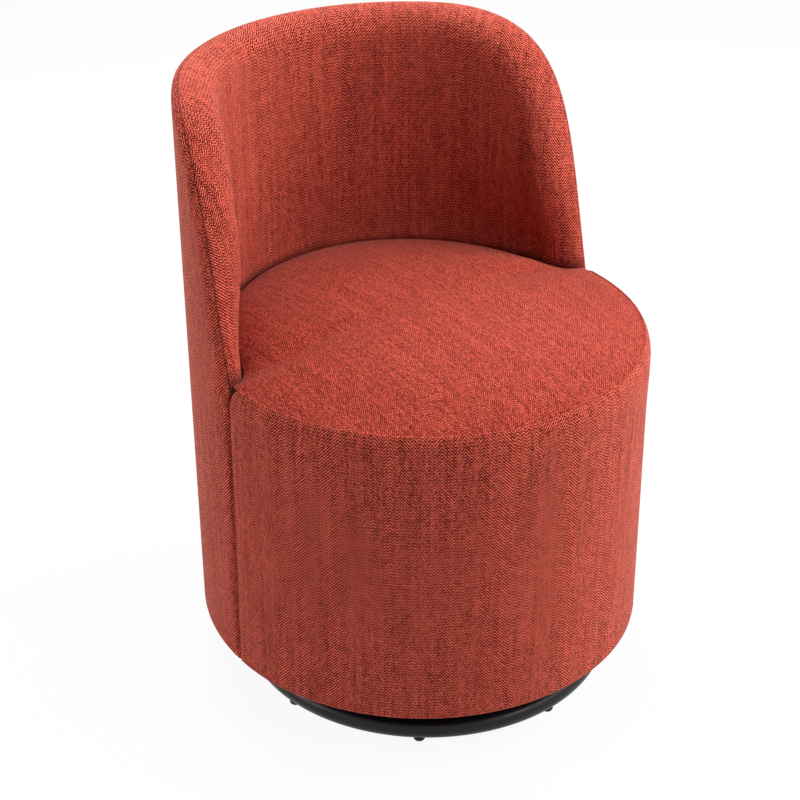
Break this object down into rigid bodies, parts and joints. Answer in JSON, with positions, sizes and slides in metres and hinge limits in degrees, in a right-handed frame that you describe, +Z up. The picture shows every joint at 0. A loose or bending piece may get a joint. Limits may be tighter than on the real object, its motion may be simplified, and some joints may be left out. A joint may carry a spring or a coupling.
{
  "type": "swivel dining chair",
  "caption": "Upholstered barrel dining chair with a crowned round seat and wrap-around back that swivels on a black steel ring base.",
  "frame": {"origin": "on the floor under the middle of the chair's box; the drum's axis is at x = 0, y = -0.014 and the swivel's at x = 0, y = -0.023", "axes": "+Z up, the chair faces -Y, +X to its left"},
  "size_m": [0.56, 0.58, 0.765],
  "materials": {
    "coral_weave": "matte",
    "foam": "matte",
    "plywood": "matte",
    "pine": "matte",
    "dust_cloth": "matte",
    "webbing": "matte",
    "black_paint": "gloss",
    "black_plastic": "satin",
    "zinc_steel": "satin"
  },
  "bodies": {
    "base": {"base_ring": "black_paint", "base_bar_front": "black_paint", "base_bar_rear": "black_paint", "bearing_lower_plate": "zinc_steel", "bearing_rivet": "zinc_steel", "glide_1": "black_plastic", "glide_2": "black_plastic", "glide_3": "black_plastic", "glide_4": "black_plastic", "glide_5": "black_plastic", "glide_6": "black_plastic", "glide_7": "black_plastic", "glide_8": "black_plastic", "base_bolt_1": "zinc_steel", "base_bolt_2": "zinc_steel", "base_bolt_3": "zinc_steel", "base_bolt_4": "zinc_steel"},
    "ball_cage": {"ball_cage": "black_plastic"},
    "seat": {"bearing_upper_plate": "zinc_steel", "bottom_board": "plywood", "dust_cover": "dust_cloth", "seat_deck": "plywood", "drum_wall": "plywood", "drum_foam": "foam", "drum_cover": "coral_weave", "seat_foam": "foam", "seat_cover": "coral_weave", "back_shell": "plywood", "back_outer_foam": "foam", "back_outer_cover": "coral_weave", "back_inner_foam": "foam", "back_inner_cover": "coral_weave", "plate_screw_1": "zinc_steel", "plate_screw_2": "zinc_steel", "plate_screw_3": "zinc_steel", "plate_screw_4": "zinc_steel", "frame_post_1": "pine", "frame_post_2": "pine", "frame_post_3": "pine", "frame_post_4": "pine", "frame_post_5": "pine", "frame_post_6": "pine", "seat_strap_1": "webbing", "seat_strap_2": "webbing", "seat_strap_3": "webbing", "seat_strap_4": "webbing", "seat_strap_5": "webbing", "seat_strap_6": "webbing", "back_bolt_1": "zinc_steel", "back_bolt_2": "zinc_steel", "back_bolt_3": "zinc_steel", "back_bolt_4": "zinc_steel", "back_nut_1": "zinc_steel", "back_nut_2": "zinc_steel", "back_nut_3": "zinc_steel", "back_nut_4": "zinc_steel"}
  },
  "joints": [
    {"name": "swivel", "type": "hinge", "parent": "base", "child": "seat", "pos_m": [0, -0.023, 0.05], "axis": [0, 0, 1], "continuous": true},
    {"name": "cage_roll", "type": "hinge", "parent": "base", "child": "ball_cage", "pos_m": [0, -0.023, 0.05], "axis": [0, 0, 1], "continuous": true}
  ],
  "couplings": [
    {"joint": "cage_roll", "follows": "swivel", "ratio": 0.5}
  ]
}
